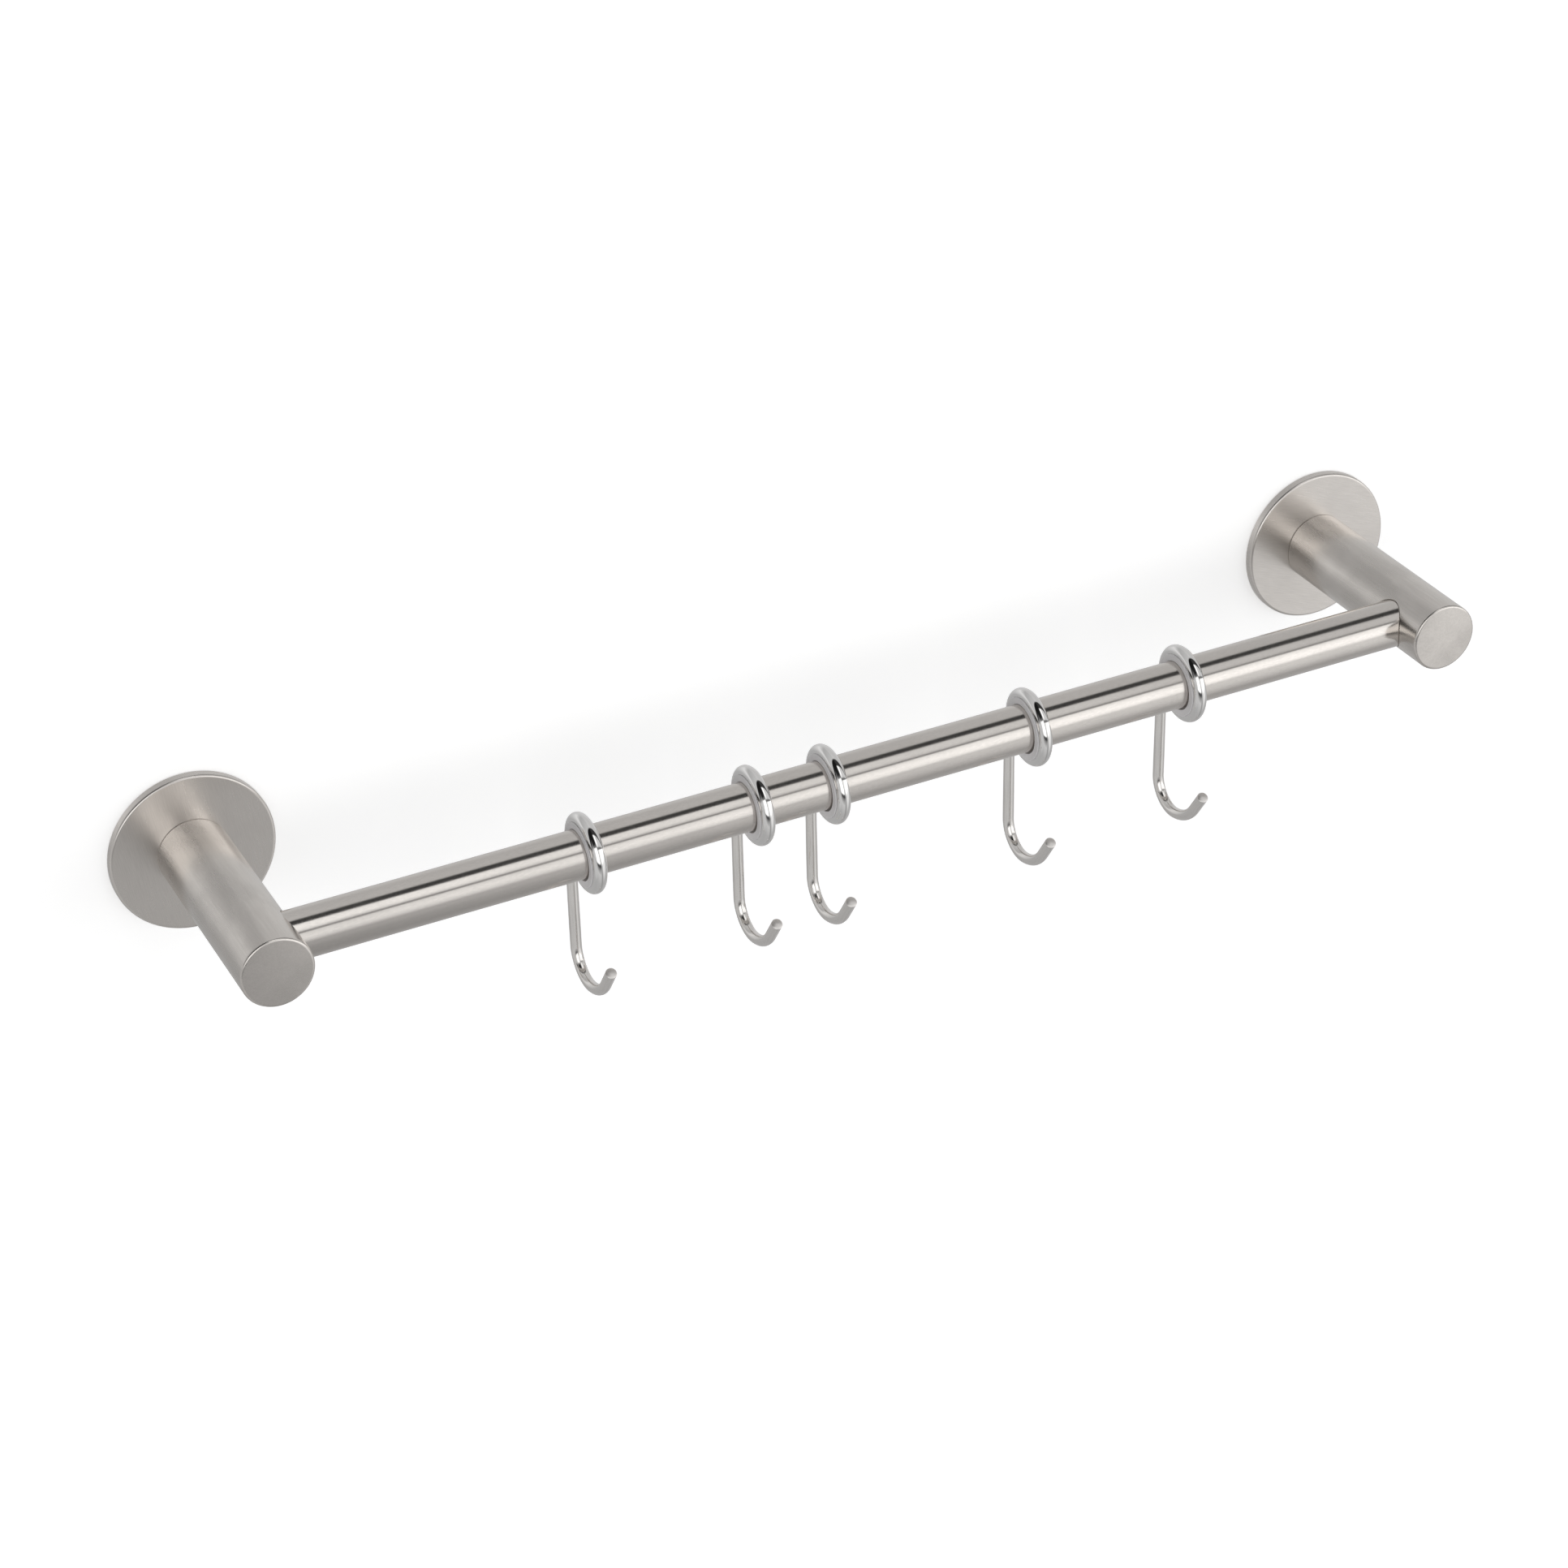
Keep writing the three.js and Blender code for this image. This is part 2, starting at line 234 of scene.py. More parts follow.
# Share of +X in a direction where one level gives way to the next
LEVEL_BORDERS = ((-0.85, -0.65), (-0.08, -0.04), (0.04, 0.08), (0.2, 0.5))
# Stage, in metres
ROOM = 4.0  # from the rack to each far wall
FLOOR = -1.2
CEILING = 4.0
WALL_BEHIND = 0.0004
STAGE_GLOW = 0.365  # light of their own that keeps the wall and floor near white


# Shapes ------------------------------------------------------------------------------------------


def arc(centre, radius, from_deg, to_deg, steps):
    """Points on an arc, both ends included."""
    angles = [math.radians(from_deg + (to_deg - from_deg) * i / steps) for i in range(steps + 1)]
    return [(centre[0] + radius * math.cos(a), centre[1] + radius * math.sin(a)) for a in angles]


def rounded(corners, closed=False):
    """Replaces each (x, y, radius) corner of an outline by an arc with a support point on either side."""
    points = []
    count = len(corners)
    for i, corner in enumerate(corners):
        here = Vector(corner[:2])
        radius = corner[2] if len(corner) > 2 else 0
        if radius == 0 or (not closed and i in (0, count - 1)):
            points.append(here)
            continue
        back = (Vector(corners[i - 1][:2]) - here).normalized()
        ahead = (Vector(corners[(i + 1) % count][:2]) - here).normalized()
        half = back.angle(ahead) / 2
        setback = radius / math.tan(half)
        centre = here + (back + ahead).normalized() * (radius / math.sin(half))
        start, end = here + back * setback, here + ahead * setback
        turn = (start - centre).angle_signed(end - centre)
        points.append(start + back * SUPPORT)
        for step in range(CORNER_STEPS + 1):
            angle = -turn * step / CORNER_STEPS
            points.append(centre + Matrix.Rotation(angle, 2) @ (start - centre))
        points.append(end + ahead * SUPPORT)
    return [tuple(p) for p in points]


def bands(mesh, rings, wrap=False):
    """Joins rings of vertices by quads. A ring of one vertex is a pole."""
    pairs = list(zip(rings, rings[1:]))
    if wrap:
        pairs.append((rings[-1], rings[0]))
    for low, high in pairs:
        count = max(len(low), len(high))
        for i in range(count):
            j = (i + 1) % count
            corners = [low[i % len(low)], low[j % len(low)], high[j % len(high)], high[i % len(high)]]
            mesh.faces.new(list(dict.fromkeys(corners)))


AXES = {
    "x": lambda r, a, along: (along, r * math.cos(a), r * math.sin(a)),
    "y": lambda r, a, along: (r * math.sin(a), along, r * math.cos(a)),
    "z": lambda r, a, along: (r * math.cos(a), r * math.sin(a), along),
}


def lathe(profile, axis, sides=SIDES, closed=False):
    """Turns an outline of (radius, place along the axis) round an axis."""
    mesh = bmesh.new()
    rings = []
    for radius, along in profile:
        if radius == 0:
            rings.append([mesh.verts.new(AXES[axis](0, 0, along))])
            continue
        angles = [2 * math.pi * i / sides for i in range(sides)]
        rings.append([mesh.verts.new(AXES[axis](radius, a, along)) for a in angles])
    bands(mesh, rings, wrap=closed)
    return mesh


def sweep(path, radii, sides=TUBE_SIDES):
    """A tube along a path of points, whose radius may change. A radius of 0 closes an end."""
    mesh = bmesh.new()
    grain = mesh.verts.layers.float_vector.new("grain")
    path = [Vector(p) for p in path]
    heading = (path[1] - path[0]).normalized()
    across = heading.orthogonal().normalized()
    rings = []
    run = 0
    for i, (place, radius) in enumerate(zip(path, radii)):
        before, after = path[max(i - 1, 0)], path[min(i + 1, len(path) - 1)]
        heading = (after - before).normalized()
        across = (across - heading * across.dot(heading)).normalized()
        other = heading.cross(across)
        run += (place - before).length
        ring = []
        for k in range(sides if radius else 1):
            angle = 2 * math.pi * k / sides
            vert = mesh.verts.new(place + radius * (across * math.cos(angle) + other * math.sin(angle)))
            vert[grain] = (radius * math.cos(angle) * MM, radius * math.sin(angle) * MM, run * MM)
            ring.append(vert)
        rings.append(ring)
    bands(mesh, rings)
    return mesh


def box(size, centre):
    """A box of a size along X, Y and Z, about its centre."""
    mesh = bmesh.new()
    bmesh.ops.create_cube(mesh, size=1)
    bmesh.ops.scale(mesh, vec=size, verts=mesh.verts)
    bmesh.ops.translate(mesh, vec=centre, verts=mesh.verts)
    return mesh


def make_object(name, mesh):
    """A Blender object of a mesh in millimetres, its faces turned outwards."""
    bmesh.ops.scale(mesh, vec=(MM, MM, MM), verts=mesh.verts)
    bmesh.ops.recalc_face_normals(mesh, faces=mesh.faces)
    data = bpy.data.meshes.new(name)
    mesh.to_mesh(data)
    mesh.free()
    made = bpy.data.objects.new(name, data)
    bpy.context.scene.collection.objects.link(made)
    return made


def cut(made, tools):
    """Cuts each tool mesh out of an object."""
    for tool in tools:
        cutter = make_object("cutter", tool)
        modifier = made.modifiers.new("cut", "BOOLEAN")
        modifier.operation = "DIFFERENCE"
        modifier.solver = "EXACT"
        modifier.object = cutter
        bpy.context.view_layer.update()
        evaluated = made.evaluated_get(bpy.context.evaluated_depsgraph_get())
        result = bpy.data.meshes.new_from_object(evaluated)
        made.modifiers.clear()
        made.data = result
        bpy.data.objects.remove(cutter)
    return made


def finish_piece(made, node, place, slot, body=None, sharp_deg=28):
    """Puts a piece where its CAD node is, in its place and on its body, and gives it its finish.

    A piece that no CAD node stands for names its body.
    """
    made.name = made.data.name = node + "_look"
    made.location = Vector(place) * MM
    made.data.materials.clear()
    made.data.materials.append(finishes[slot])
    made.data.shade_smooth()
    made.data.set_sharp_from_angle(angle=math.radians(sharp_deg))
    if body is None:
        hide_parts(node)
        body = frame["nodes"][node]["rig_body"]
    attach(made, body)


# Finishes ----------------------------------------------------------------------------------------


def add_node(tree, kind, inputs=None, **properties):
    """A shader node. Each input is a value, or the output of another node that feeds it."""
    node = tree.nodes.new("ShaderNode" + kind)
    for key, value in properties.items():
        setattr(node, key, value)
    for key, value in (inputs or {}).items():
        if isinstance(value, bpy.types.NodeSocket):
            tree.links.new(value, node.inputs[key])
        else:
            node.inputs[key].default_value = value
    return node


def calculate(tree, operation, first, second=0.0, third=0.0):
    """Arithmetic on up to three values, each a number or the output of another node."""
    return add_node(tree, "Math", {0: first, 1: second, 2: third}, operation=operation).outputs[0]


def remap(tree, value, from_range, to_range, smooth=False):
    """A value carried from one range to another, and held at the second range's ends."""
    inputs = {
        "Value": value,
        "From Min": from_range[0],
        "From Max": from_range[1],
        "To Min": to_range[0],
        "To Max": to_range[1],
    }
    kind = "SMOOTHSTEP" if smooth else "LINEAR"
    return add_node(tree, "MapRange", inputs, interpolation_type=kind).outputs[0]


def pattern(tree, vector, per_metre, detail=3.0, distortion=0.0):
    """Noise between 0 and 1 whose grain is set by three frequencies, one for each direction."""
    scaled = add_node(tree, "VectorMath", {0: vector, 1: per_metre}, operation="MULTIPLY").outputs[0]
    inputs = {"Vector": scaled, "Scale": 1.0, "Detail": detail, "Distortion": distortion}
    return add_node(tree, "TexNoise", inputs).outputs["Fac"]


def blend(tree, factor, first, second):
    """A colour between two others. Each is a colour, or the output of another node."""
    mix = tree.nodes.new("ShaderNodeMix")
    mix.data_type = "RGBA"
    tree.links.new(factor, mix.inputs[0])
    for socket, colour in ((mix.inputs[6], first), (mix.inputs[7], second)):
        if isinstance(colour, bpy.types.NodeSocket):
            tree.links.new(colour, socket)
        else:
            socket.default_value = (*colour, 1)
    return mix.outputs[2]


def shades(colour, spread):
    """A darker and a lighter shade of a colour."""
    return [c * (1 - spread) for c in colour], [min(1.0, c * (1 + spread)) for c in colour]


def new_material(name):
    material = bpy.data.materials.new(name)
    material.use_nodes = True
    return material, material.node_tree, material.node_tree.nodes["Principled BSDF"]


def metal(name, colour, spread, roughness, grain, cloud=(45, 45, 45), grain_share=0.5, depth=0.0,
          specks=0.25, coordinates="object", ground_from=None):
    """Metal with a fine grain, soft clouds and scattered darker specks.

    spread is how far its colour strays, as a share, and roughness its lowest and highest value. grain
    and cloud are frequencies per metre. depth is how deep the grain is, in metres, and specks is how
    dark the specks are. ground_from is how far along a wire its ground end begins, in millimetres.
    """
    material, tree, shader = new_material(name)
    if coordinates == "object":
        place = add_node(tree, "TexCoord").outputs["Object"]
    else:
        place = add_node(tree, "Attribute", attribute_name="grain").outputs["Vector"]
    fine = pattern(tree, place, grain, detail=4.0)
    clouds = pattern(tree, place, cloud, detail=3.0, distortion=0.4)
    scatter = pattern(tree, place, [SPECK_FINENESS * f for f in grain], detail=2.0)
    contrast = remap(tree, fine, NOISE_RANGE, (0, 1))
    cloudiness = remap(tree, clouds, NOISE_RANGE, (0, 1), smooth=True)
    softened = calculate(tree, "MULTIPLY", cloudiness, 1 - grain_share)
    shade = calculate(tree, "MULTIPLY_ADD", contrast, grain_share, softened)
    shade = calculate(tree, "SUBTRACT", shade, remap(tree, scatter, PEAK_RANGE, (0, specks)))
    tree.links.new(blend(tree, shade, *shades(colour, spread)), shader.inputs["Base Color"])
    gloss = remap(tree, shade, (0, 1), (roughness[1], roughness[0]))
    if ground_from is not None:
        run = add_node(tree, "SeparateXYZ", {0: place}).outputs["Z"]
        fade = (ground_from * MM, (ground_from + GROUND_BLEND) * MM)
        ground = remap(tree, run, fade, (0, GROUND_ROUGHNESS))
        gloss = calculate(tree, "MAXIMUM", gloss, ground)
    tree.links.new(gloss, shader.inputs["Roughness"])
    shader.inputs["Metallic"].default_value = 1.0
    if depth:
        bump = add_node(tree, "Bump", {"Height": fine, "Distance": depth, "Strength": 1.0})
        tree.links.new(bump.outputs["Normal"], shader.inputs["Normal"])
    return material


def plastic(name, colour, spread):
    """Matt moulded plastic with a fine texture and faint flow marks."""
    material, tree, shader = new_material(name)
    place = add_node(tree, "TexCoord").outputs["Object"]
    flow = pattern(tree, place, (90, 260, 260), detail=3.0, distortion=0.6)
    texture = pattern(tree, place, (2600, 2600, 2600), detail=2.0)
    softened = calculate(tree, "MULTIPLY", flow, 0.6)
    shade = calculate(tree, "MULTIPLY_ADD", texture, 0.4, softened)
    shade = remap(tree, shade, (0.35, 0.65), (0, 1))
    tree.links.new(blend(tree, shade, *shades(colour, spread)), shader.inputs["Base Color"])
    tree.links.new(remap(tree, texture, NOISE_RANGE, (0.36, 0.5)), shader.inputs["Roughness"])
    shader.inputs["Specular IOR Level"].default_value = 0.45
    bump = add_node(tree, "Bump", {"Height": texture, "Distance": 0.00002, "Strength": 0.5})
    tree.links.new(bump.outputs["Normal"], shader.inputs["Normal"])
    return material


def make_finishes():
    return {
        "rail_steel": metal(
            "rail_steel", (0.71, 0.675, 0.64), 0.05, (0.13, 0.19), (700, 3500, 3500),
            grain_share=0.7, depth=9e-7,
        ),
        "post_steel": metal(
            "post_steel", (0.70, 0.665, 0.63), 0.1, (0.23, 0.29), (1500, 80, 1500),
            cloud=(75, 40, 75), grain_share=0.3, specks=0.0,
        ),
        "flange_steel": metal(
            "flange_steel", (0.74, 0.705, 0.67), 0.07, (0.26, 0.32), (2900, 900, 180),
            grain_share=0.6, depth=5e-7, specks=0.1, coordinates="grain",
        ),
        "ring_chrome": metal(
            "ring_chrome", (0.88, 0.87, 0.86), 0.02, (0.03, 0.06), (900, 900, 120),
            coordinates="grain",
        ),
        "hook_steel": metal(
            "hook_steel", (0.84, 0.815, 0.79), 0.06, (0.13, 0.20), (2200, 2200, 160),
            depth=5e-7, coordinates="grain", ground_from=WIRE_LENGTH - GROUND_LENGTH,
        ),
        "liner_plastic": plastic("liner_plastic", (0.86, 0.845, 0.85), 0.04),
        "zinc_plated_steel": metal(
            "zinc_plated_steel", (0.62, 0.62, 0.62), 0.16, (0.28, 0.5), (700, 700, 700),
            grain_share=0.4, depth=3e-6,
        ),
        "black_steel": metal(
            "black_steel", (0.085, 0.085, 0.088), 0.5, (0.35, 0.55), (1500, 1500, 1500),
            depth=3e-6,
        ),
    }


# Pieces ------------------------------------------------------------------------------------------


def hole_tool(radius, direction, floor, along):
    """A round cutter across a post whose mouth flares where it leaves the post's round side.

    direction is "left", "right" or "down". floor is where the hole ends, measured from the post's
    axis, and along is the hole's place on the post.
    """
    turns = {
        "right": ((1, 0, 0), (0, 0, 1)),
        "left": ((-1, 0, 0), (0, 0, 1)),
        "down": ((0, 0, -1), (1, 0, 0)),
    }
    outward, sideways = (Vector(v) for v in turns[direction])
    lengthwise = Vector((0, 1, 0))
    wide = radius + 2 * HOLE_FLARE
    mesh = bmesh.new()

    def ring(size, reach):
        verts = []
        for i in range(SIDES):
            angle = 2 * math.pi * i / SIDES
            side, length = size * math.sin(angle), size * math.cos(angle)
            place = outward * reach(side) + sideways * side + lengthwise * (length - along)
            verts.append(mesh.verts.new(place))
        return verts

    def skin(side):
        return math.sqrt(POST_RADIUS**2 - side**2)

    far = POST_RADIUS + CUTTER_REACH
    rings = [
        [mesh.verts.new(outward * floor - lengthwise * along)],
        ring(radius, lambda side: floor),
        ring(radius, lambda side: skin(side) - HOLE_FLARE),
        ring(wide, lambda side: skin(side) + HOLE_FLARE),
        ring(wide, lambda side: far),
        [mesh.verts.new(outward * far - lengthwise * along)],
    ]
    bands(mesh, rings)
    return mesh


def make_post(side, x):
    crown = [step / CROWN_STEPS for step in reversed(range(CROWN_STEPS))]
    rod = rounded([
        (0, -POST_BASE),
        (POST_RADIUS, -POST_BASE, POST_BASE_EDGE),
        (POST_RADIUS, POST_CROWN - POST_FRONT, POST_EDGE),
        *[(POST_RADIUS * share, POST_CROWN * share**2 - POST_FRONT) for share in crown],
    ])
    post = make_object("post", lathe(rod, "y", POST_SIDES))
    bore_radius = SPIGOT_RADIUS + GAP
    bore = [(0, 0), (bore_radius, 0), (bore_radius, -SPIGOT_BORE_DEPTH), (0, -SPIGOT_BORE_DEPTH)]
    toward_rail = "right" if x < 0 else "left"
    cut(post, [
        lathe(bore, "y", HOLE_SIDES),
        hole_tool(RAIL_HOLE_RADIUS, toward_rail, -RAIL_HOLE_FLOOR, RAIL_OFFSET),
        hole_tool(POST_GRUB["radius"] + GAP, "down", 0, GROOVE_CENTRE),
        hole_tool(RAIL_GRUB["radius"] + GAP, "down", 0, RAIL_OFFSET),
    ])
    finish_piece(post, f"{side}_post", (x, 0, 0), "post_steel")


def make_flange(side, x):
    inner = FLANGE_RADIUS - FLANGE_RIM
    recess = -(FLANGE_THICKNESS - FLANGE_SKIN)
    outline = rounded([
        (inner, 0, FLANGE_RIM_EDGE),
        (FLANGE_RADIUS, 0, FLANGE_BACK_EDGE),
        (FLANGE_RADIUS, -FLANGE_THICKNESS, FLANGE_EDGE),
        (FLANGE_HOLE_RADIUS, -FLANGE_THICKNESS, FLANGE_HOLE_EDGE),
        (FLANGE_HOLE_RADIUS, recess, FLANGE_HOLE_EDGE),
        (inner, recess, RECESS_FILLET),
    ], closed=True)
    mesh = lathe(outline, "y", POST_SIDES, closed=True)
    grain = mesh.verts.layers.float_vector.new("grain")
    brushed = Matrix.Rotation(math.radians(-FLANGE_TURN_DEG[side]), 3, "Y")
    for vert in mesh.verts:
        vert[grain] = brushed @ vert.co * MM
    flange = make_object("flange", mesh)
    finish_piece(flange, f"{side}_flange", (x, 0, 0), "flange_steel")


def make_wall_plate(side, x):
    outline = rounded([
        (0, 0),
        (PLATE_RADIUS, 0, PLATE_EDGE),
        (PLATE_RADIUS, -PLATE_THICKNESS, PLATE_EDGE),
        (SPIGOT_RADIUS, -PLATE_THICKNESS, SPIGOT_FILLET),
        (SPIGOT_RADIUS, GROOVE_MOUTH - GROOVE_CENTRE, GROOVE_EDGE),
        (SPIGOT_RADIUS - GROOVE_DEPTH, GROOVE_FLOOR - GROOVE_CENTRE, GROOVE_EDGE),
        (SPIGOT_RADIUS - GROOVE_DEPTH, -GROOVE_FLOOR - GROOVE_CENTRE, GROOVE_EDGE),
        (SPIGOT_RADIUS, -GROOVE_MOUTH - GROOVE_CENTRE, GROOVE_EDGE),
        (SPIGOT_RADIUS, -SPIGOT_END, SPIGOT_EDGE),
        (0, -SPIGOT_END),
    ])
    plate = make_object("plate", lathe(outline, "y", SIDES))
    front = -PLATE_THICKNESS - CUTTER_LIP
    countersink = [
        (0, CUTTER_LIP),
        (SCREW_HOLE_RADIUS, CUTTER_LIP),
        (SCREW_HOLE_RADIUS, 0),
        (SCREW_HOLE_RADIUS - front, front),
        (0, front),
    ]
    tools = []
    for height in (SCREW_PITCH_RADIUS, -SCREW_PITCH_RADIUS):
        tool = lathe(countersink, "y", HOLE_SIDES)
        bmesh.ops.translate(tool, vec=(0, 0, height), verts=tool.verts)
        tools.append(tool)
    cut(plate, tools)
    finish_piece(plate, f"{side}_wall_plate", (x, 0, 0), "zinc_plated_steel")


def thread_radius(core, depth, along, angle):
    """Radius of a V thread at a place along the screw and an angle round it."""
    turn = (along / THREAD_PITCH + angle / (2 * math.pi)) % 1
    ridge = max(0.0, 1 - abs(turn - 0.5) * 2 / THREAD_SHARE)
    return core + depth * ridge


def make_wall_screw(side, x, name, height):
    """A countersunk screw with a real helical thread."""
    mesh = bmesh.new()
    rings = [[mesh.verts.new((0, SCREW_HEAD_TOP, 0))]]

    def ring(along, radius_at):
        angles = [2 * math.pi * i / SCREW_SIDES for i in range(SCREW_SIDES)]
        rings.append([mesh.verts.new(AXES["y"](radius_at(a), a, along)) for a in angles])

    neck = SCREW_RADIUS - THREAD_DEPTH / 2
    ring(SCREW_HEAD_TOP, lambda a: SCREW_HEAD_RADIUS - HEAD_EDGE)
    ring(SCREW_HEAD_TOP + HEAD_EDGE, lambda a: SCREW_HEAD_RADIUS)
    ring(0, lambda a: SCREW_RADIUS)
    ring(NECK_END, lambda a: neck)
    core = SCREW_RADIUS - THREAD_DEPTH
    threaded = SCREW_LENGTH - THREAD_START - THREAD_END_GAP
    for i in range(round(threaded / THREAD_PITCH * THREAD_STEPS)):
        along = THREAD_START + i * THREAD_PITCH / THREAD_STEPS
        taper = min(1, (SCREW_LENGTH - along) / SCREW_POINT)
        depth = THREAD_DEPTH * min(1, (along - THREAD_START) / THREAD_PITCH)
        ring(along, lambda a: max(BLUNT_RADIUS, thread_radius(core, depth, along, a) * taper))
    rings.append([mesh.verts.new((0, SCREW_LENGTH, 0))])
    bands(mesh, rings)
    screw = make_object("screw", mesh)
    width, length, deep = (CROSS_SLOT[k] for k in ("width", "length", "depth"))
    centre = (0, SCREW_HEAD_TOP, 0)
    cut(screw, [box((width, 2 * deep, length), centre), box((length, 2 * deep, width), centre)])
    finish_piece(screw, f"{side}_{name}", (x, 0, height), "zinc_plated_steel")


def make_grub_screw(side, x, name, grub, offset):
    """A headless screw pointing up, with a hexagon socket in its lower end."""
    radius, head, tip, cone = (grub[k] for k in ("radius", "head", "tip", "cone"))
    outline = rounded([
        (0, -head),
        (radius, -head, GRUB_HEAD_EDGE),
        (radius, -tip - cone, GRUB_TIP_EDGE),
        (radius - cone, -tip, GRUB_TIP_EDGE),
        (0, -tip),
    ])
    screw = make_object("grub", lathe(outline, "z", GRUB_SIDES))
    mouth = -head - CUTTER_LIP
    floor = -head + grub["key_depth"]
    socket = [(0, mouth), (grub["key"], mouth), (grub["key"], floor), (0, floor + KEY_POINT)]
    cut(screw, [lathe(socket, "z", sides=6)])
    finish_piece(screw, f"{side}_{name}", (x, -offset, 0), "black_steel")


def make_rail():
    outline = rounded([
        (RAIL_BORE, -RAIL_END, RAIL_BORE_EDGE),
        (RAIL_RADIUS, -RAIL_END, RAIL_EDGE),
        (RAIL_RADIUS, RAIL_END, RAIL_EDGE),
        (RAIL_BORE, RAIL_END, RAIL_BORE_EDGE),
    ], closed=True)
    rail = make_object("rail_tube", lathe(outline, "x", SIDES, closed=True))
    finish_piece(rail, "rail", (0, -RAIL_OFFSET, 0), "rail_steel")


def hook_place(x):
    """Centre of a hook's ring."""
    return (x, -RAIL_OFFSET, -RING_DROP)


def make_ring(number, x):
    """A closed ring, starting and ending at the back where the hook is welded on."""
    mesh = bmesh.new()
    grain = mesh.verts.layers.float_vector.new("grain")
    rings = []
    for i in range(SIDES):
        turn = 2 * math.pi * i / SIDES
        ring = []
        for k in range(TUBE_SIDES):
            angle = 2 * math.pi * k / TUBE_SIDES
            reach = RING_RADIUS + RING_TUBE_RADIUS * math.cos(angle)
            side = RING_TUBE_RADIUS * math.sin(angle)
            vert = mesh.verts.new((side, reach * math.cos(turn), reach * math.sin(turn)))
            tube = (RING_TUBE_RADIUS * math.cos(angle) * MM, side * MM)
            vert[grain] = (*tube, RING_RADIUS * MM * math.sin(turn))
            ring.append(vert)
        rings.append(ring)
    bands(mesh, rings, wrap=True)
    made = make_object("ring", mesh)
    finish_piece(made, f"hook_{number}_ring", hook_place(x), "ring_chrome")


def make_liner(number, x):
    """A grommet whose outer groove holds the ring, its lips rounded over."""
    reach = math.degrees(math.asin((RING_RADIUS - LINER_LIP_RADIUS) / LINER_GROOVE_RADIUS))
    groove = arc((RING_RADIUS, 0), LINER_GROOVE_RADIUS, 270 - reach, 90 + reach, GROOVE_STEPS)
    outline = [
        *rounded([
            groove[-1],
            (LINER_LIP_RADIUS, LINER_HALF_WIDTH, LINER_LIP_EDGE),
            (LINER_BORE, LINER_HALF_WIDTH, LINER_BORE_EDGE),
            (LINER_BORE, -LINER_HALF_WIDTH, LINER_BORE_EDGE),
            (LINER_LIP_RADIUS, -LINER_HALF_WIDTH, LINER_LIP_EDGE),
            groove[0],
        ])[1:-1],
        *groove,
    ]
    liner = make_object("liner", lathe(outline, "x", SIDES, closed=True))
    finish_piece(liner, f"hook_{number}_liner", hook_place(x), "liner_plastic")


def hook_path():
    """The wire's centre line in the YZ plane, from its top end, with the ring's centre at (0, 0)."""
    points = []
    for i in range(SHANK_STEPS):
        points.append((SHANK_OFFSET, SHANK_TOP + (SHANK_BOTTOM - SHANK_TOP) * i / SHANK_STEPS))
    centre = (SHANK_OFFSET - BEND_RADIUS, SHANK_BOTTOM)
    points += arc(centre, BEND_RADIUS, 0, -BEND_DEG, BEND_STEPS)
    y, z = points[-1]
    bend = math.radians(BEND_DEG)
    centre = (y - SWEEP_RADIUS * math.cos(bend), z + SWEEP_RADIUS * math.sin(bend))
    points += arc(centre, SWEEP_RADIUS, -BEND_DEG, -BEND_DEG - SWEEP_DEG, SWEEP_STEPS)[1:]
    y, z = points[-1]
    end = bend + math.radians(SWEEP_DEG)
    for i in range(1, TIP_STEPS + 1):
        run = TIP_LENGTH * i / TIP_STEPS
        points.append((y - run * math.sin(end), z - run * math.cos(end)))
    return points


def leaned(y, z, x=0):
    """A point of the hook turned about the ring's centre by the hook's lean."""
    return Matrix.Rotation(math.radians(HOOK_LEAN_DEG), 3, "X") @ Vector((x, y, z))


def shank_radius(z):
    """The wire's radius at a height on the shank, from slim at the top to full at the bottom."""
    share = (SLIM_WIRE_END + SLIM_WIRE_FADE / 2 - z) / SLIM_WIRE_FADE
    share = min(1, max(0, share))
    return SLIM_WIRE_RADIUS + (WIRE_RADIUS - SLIM_WIRE_RADIUS) * share * share * (3 - 2 * share)


def make_wire(number, x):
    """The hook's wire, its ends cut square, crowned a little and chamfered."""
    line = [Vector(p) for p in hook_path()]
    shank_end = SHANK_STEPS + BEND_STEPS // 2  # well into the bend, where the wire has its full radius
    up = (line[0] - line[1]).normalized()
    out = (line[-1] - line[-2]).normalized()
    slimness = SLIM_WIRE_RADIUS / WIRE_RADIUS
    path = [(line[0] + up * (d - WIRE_CROWN), r * slimness) for d, r in WIRE_END]
    for i, point in enumerate(line[1:-1]):
        path.append((point, shank_radius(point.y) if i < shank_end else WIRE_RADIUS))
    path += [(line[-1] + out * (d - WIRE_CROWN), r) for d, r in reversed(WIRE_END)]
    points = [leaned(p.x, p.y) for p, _ in path]
    wire = make_object("wire", sweep(points, [r for _, r in path]))
    finish_piece(wire, f"hook_{number}_wire", hook_place(x), "hook_steel")


def weld_line():
    """The curve along which the wire's surface meets the ring's, down one side and up the other."""
    side = []
    halvings = 40
    for i in range(WELD_STEPS + 1):
        z = WELD_TOP + (WELD_BOTTOM - WELD_TOP) * i / WELD_STEPS
        low, high = SHANK_OFFSET - WIRE_RADIUS, SHANK_OFFSET
        for _ in range(halvings):
            y = (low + high) / 2
            ring_side = RING_TUBE_RADIUS**2 - (math.hypot(y, z) - RING_RADIUS) ** 2
            wire_side = WIRE_RADIUS**2 - (y - SHANK_OFFSET) ** 2
            if ring_side > wire_side:
                low = y
            else:
                high = y
        side.append((math.sqrt(max(0.0, WIRE_RADIUS**2 - (y - SHANK_OFFSET) ** 2)), y, z))
    return side + [(-x, y, z) for x, y, z in reversed(side)]


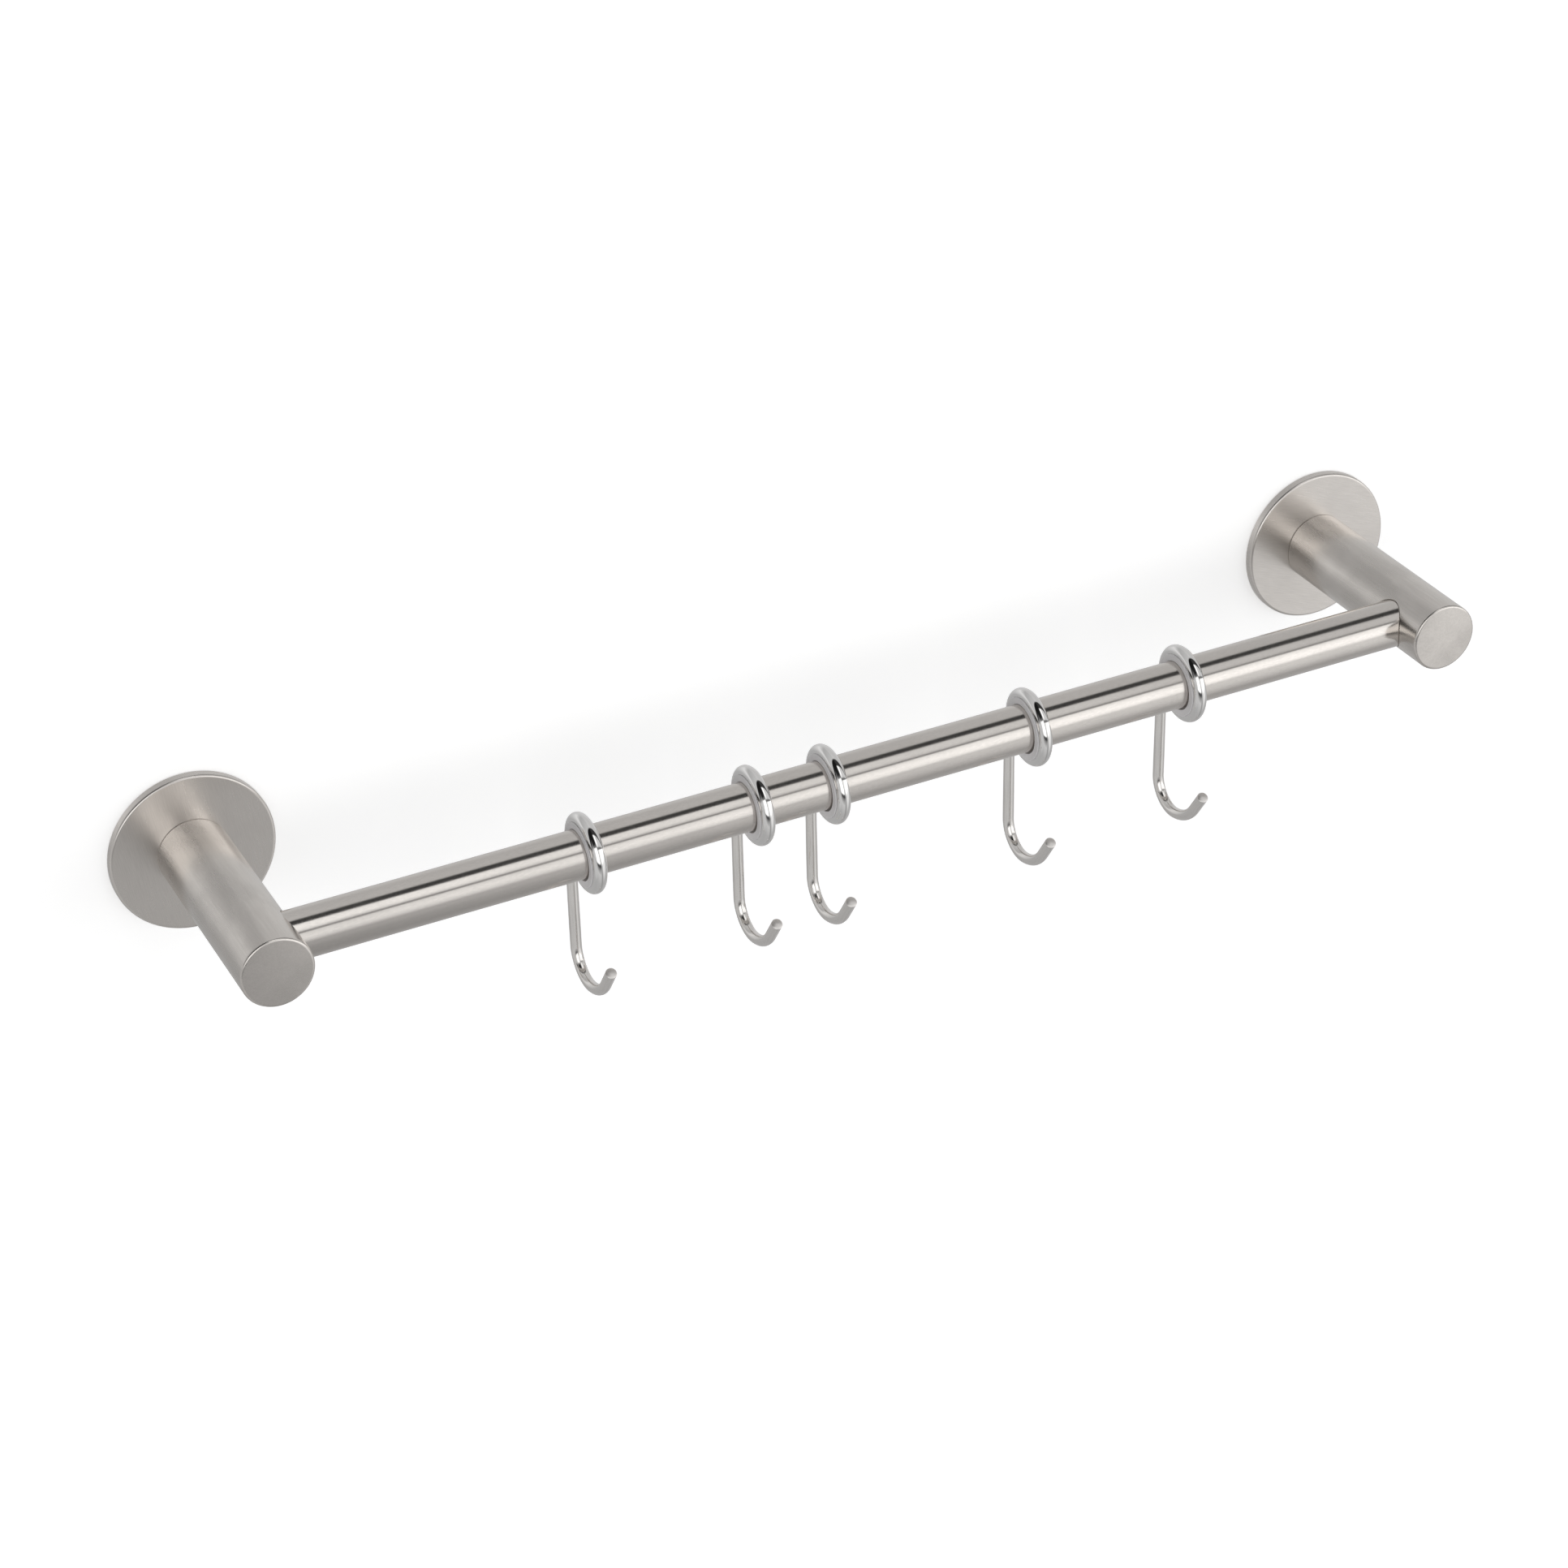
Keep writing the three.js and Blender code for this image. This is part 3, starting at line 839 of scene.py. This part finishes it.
def weld_ripple(place, number):
    """A smooth number between -1 and 1 that changes along the bead and from hook to hook."""
    stretched = Vector((place.x, place.y, place.z * RIPPLE_STRETCH))
    return noise.noise(stretched + Vector((number * RIPPLE_SHIFT, 0, 0)))


def make_weld(number, x):
    """The bead that joins the wire to the back of the ring, a little uneven as welds are."""
    path = [leaned(y, z, x_side) for x_side, y, z in weld_line()]
    radii = []
    for i, place in enumerate(path):
        from_end = min(i, len(path) - 1 - i)
        fullness = min(1, WELD_START + WELD_GROWTH * from_end) if from_end else 0
        radii.append(WELD_RADIUS * fullness * (1 + WELD_RIPPLE * weld_ripple(place, number)))
    weld = make_object("weld", sweep(path, radii, sides=WELD_SIDES))
    finish_piece(weld, f"hook_{number}_weld", hook_place(x), "hook_steel", f"hook_{number}", sharp_deg=60)


def make_rack():
    make_rail()
    for side, x in (("left", -POST_SPACING / 2), ("right", POST_SPACING / 2)):
        make_flange(side, x)
        make_post(side, x)
        make_wall_plate(side, x)
        make_wall_screw(side, x, "upper_wall_screw", SCREW_PITCH_RADIUS)
        make_wall_screw(side, x, "lower_wall_screw", -SCREW_PITCH_RADIUS)
        make_grub_screw(side, x, "post_grub_screw", POST_GRUB, GROOVE_CENTRE)
        make_grub_screw(side, x, "rail_grub_screw", RAIL_GRUB, RAIL_OFFSET)
    for number, x in enumerate(HOOK_PLACES, 1):
        make_ring(number, x)
        make_liner(number, x)
        make_wire(number, x)
        make_weld(number, x)


# Studio ------------------------------------------------------------------------------------------


def make_surroundings():
    """The soft panels round the rack, as brightness by direction."""
    world = bpy.data.worlds.new("studio")
    world.use_nodes = True
    bpy.context.scene.world = world
    tree = world.node_tree
    background = tree.nodes["Background"]
    direction = add_node(tree, "TexCoord").outputs["Generated"]
    parts = add_node(tree, "SeparateXYZ", {0: direction})
    toward_room = calculate(tree, "MULTIPLY", parts.outputs["Y"], -1)
    angle = calculate(tree, "ARCTAN2", parts.outputs["Z"], toward_room)
    share = remap(tree, angle, (-math.pi, math.pi), (0, 1))
    level = None
    for column, border in enumerate((None, *LEVEL_BORDERS), 1):
        ramp = add_node(tree, "ValToRGB", {"Fac": share})
        stops = ramp.color_ramp.elements
        while len(stops) < len(SURROUNDINGS):
            stops.new(0.5)
        for stop, row in zip(stops, SURROUNDINGS):
            stop.position = (row[0] + 180) / 360
            stop.color = (row[column] / 2, row[column] / 2, row[column] / 2, 1)
        if level is None:
            level = ramp.outputs["Color"]
            continue
        passed = remap(tree, parts.outputs["X"], border, (0, 1), smooth=True)
        level = blend(tree, passed, level, ramp.outputs["Color"])
    tree.links.new(level, background.inputs["Color"])
    background.inputs["Strength"].default_value = 2.0


def stage_plane(name, centre, across, up):
    """A white plane that only the camera sees, and only from the front, so that it hides no light."""
    centre, across, up = Vector(centre), Vector(across), Vector(up)
    corners = [centre + a * across + b * up for a, b in ((-1, -1), (1, -1), (1, 1), (-1, 1))]
    data = bpy.data.meshes.new(name)
    data.from_pydata(corners, [], [(0, 1, 2, 3)])
    plane = bpy.data.objects.new(name, data)
    bpy.context.scene.collection.objects.link(plane)
    material = bpy.data.materials.new(name)
    material.use_nodes = True
    tree = material.node_tree
    tree.nodes.clear()
    paint = add_node(tree, "BsdfDiffuse", {"Color": (1, 1, 1, 1)}).outputs[0]
    light = add_node(tree, "Emission", {"Color": (1, 1, 1, 1), "Strength": STAGE_GLOW}).outputs[0]
    front = add_node(tree, "AddShader", {0: paint, 1: light}).outputs[0]
    clear = add_node(tree, "BsdfTransparent").outputs[0]
    behind = add_node(tree, "NewGeometry").outputs["Backfacing"]
    surface = add_node(tree, "MixShader", {0: behind, 1: front, 2: clear}).outputs[0]
    output = add_node(tree, "OutputMaterial")
    tree.links.new(surface, output.inputs["Surface"])
    data.materials.append(material)
    for ray in ("diffuse", "glossy", "transmission", "volume_scatter", "shadow"):
        setattr(plane, "visible_" + ray, False)


def make_camera():
    data = bpy.data.cameras.new("camera")
    data.lens = CAMERA_LENS_MM
    camera = bpy.data.objects.new("camera", data)
    camera.location = CAMERA_PLACE
    camera.rotation_euler = [math.radians(a) for a in CAMERA_TURN_DEG]
    bpy.context.scene.collection.objects.link(camera)
    bpy.context.scene.camera = camera


def make_studio():
    make_camera()
    make_surroundings()
    middle = (CEILING + FLOOR) / 2
    rise = (0, 0, (CEILING - FLOOR) / 2)
    planes = {
        "wall": ((0, WALL_BEHIND, middle), (ROOM, 0, 0), rise),
        "floor": ((0, 0, FLOOR), (ROOM, 0, 0), (0, ROOM, 0)),
        "ceiling": ((0, 0, CEILING), (0, ROOM, 0), (ROOM, 0, 0)),
        "far_left": ((-ROOM, 0, middle), (0, ROOM, 0), rise),
        "far_right": ((ROOM, 0, middle), (0, -ROOM, 0), rise),
        "far_front": ((0, -ROOM, middle), (-ROOM, 0, 0), rise),
        "far_back": ((0, ROOM, middle), (ROOM, 0, 0), rise),
    }
    for name, (centre, across, up) in planes.items():
        stage_plane(name, centre, across, up)
    bpy.context.scene.view_settings.view_transform = "Standard"


finishes = make_finishes()
make_rack()
make_studio()
